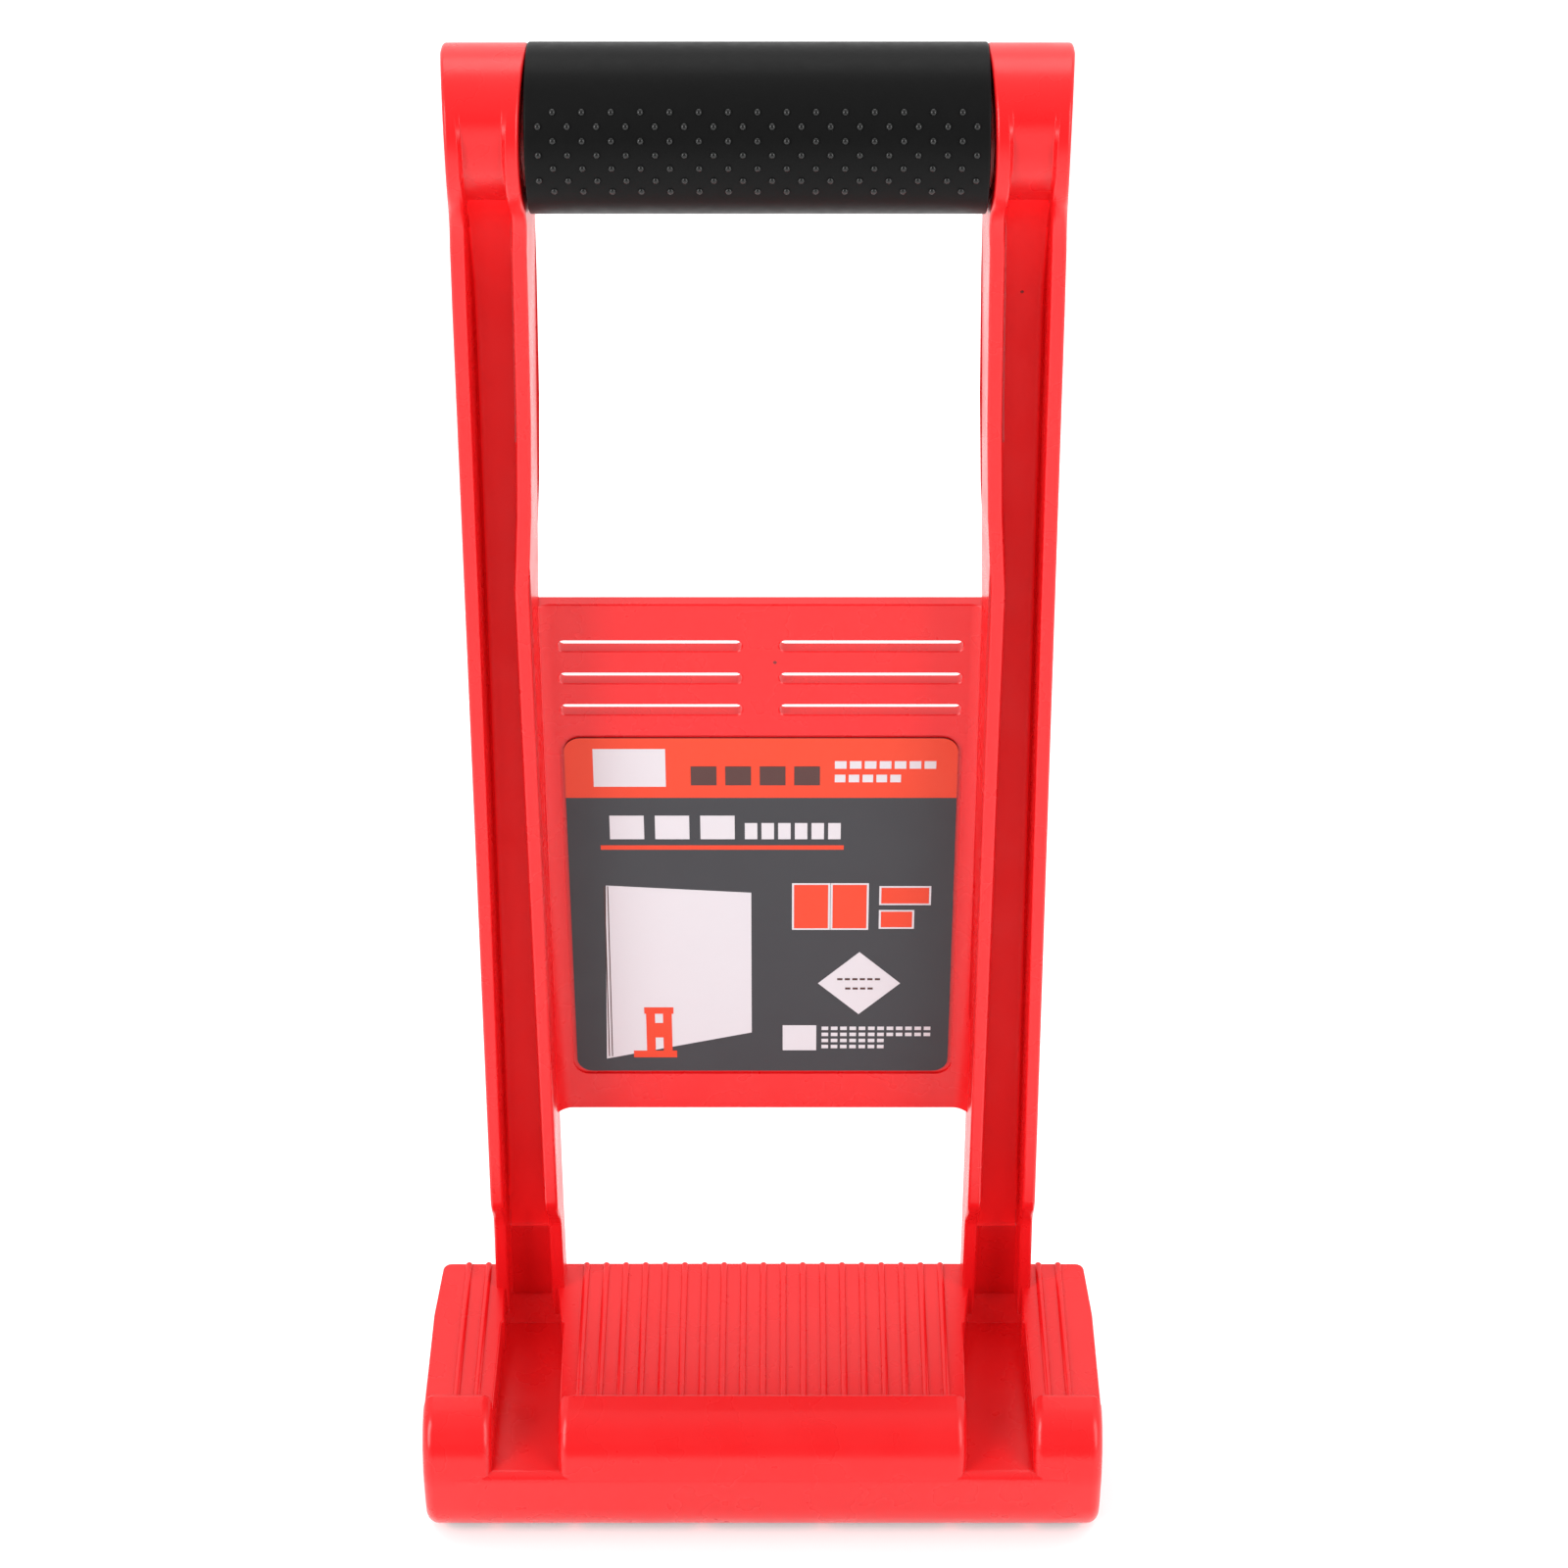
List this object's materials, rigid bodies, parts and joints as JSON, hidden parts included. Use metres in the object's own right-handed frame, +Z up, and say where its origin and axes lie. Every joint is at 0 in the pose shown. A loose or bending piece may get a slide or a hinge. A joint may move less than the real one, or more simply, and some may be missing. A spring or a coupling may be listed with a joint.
{
  "type": "drywall lift",
  "caption": "One-handed drywall carrier: ribbed foot with a rounded nose, two channel uprights, a slotted plate with a label, and a cross handle with a soft grip.",
  "frame": {"origin": "at floor level, in the middle of the overall width and depth", "axes": "+Z up along the uprights, -Y towards the front, where the nose is, +X to the right as seen from the front"},
  "size_m": [0.155, 0.0684, 0.3499],
  "materials": {
    "red_plastic": "glossy red ABS with a clean moulded surface",
    "black_rubber": "satin soft thermoplastic rubber with rows of small bumps",
    "label_print": "smooth printed plastic film, dark grey field with an orange-red band"
  },
  "bodies": {
    "root": {"centre_shelf": "red_plastic", "left_shelf": "red_plastic", "right_shelf": "red_plastic", "centre_nose": "red_plastic", "left_nose": "red_plastic", "right_nose": "red_plastic", "left_trough": "red_plastic", "right_trough": "red_plastic", "left_upright": "red_plastic", "right_upright": "red_plastic", "left_handle_boss": "red_plastic", "right_handle_boss": "red_plastic", "centre_plate": "red_plastic", "handle_core": "red_plastic", "grip_sleeve": "black_rubber", "label_sticker": "label_print"}
  },
  "joints": []
}
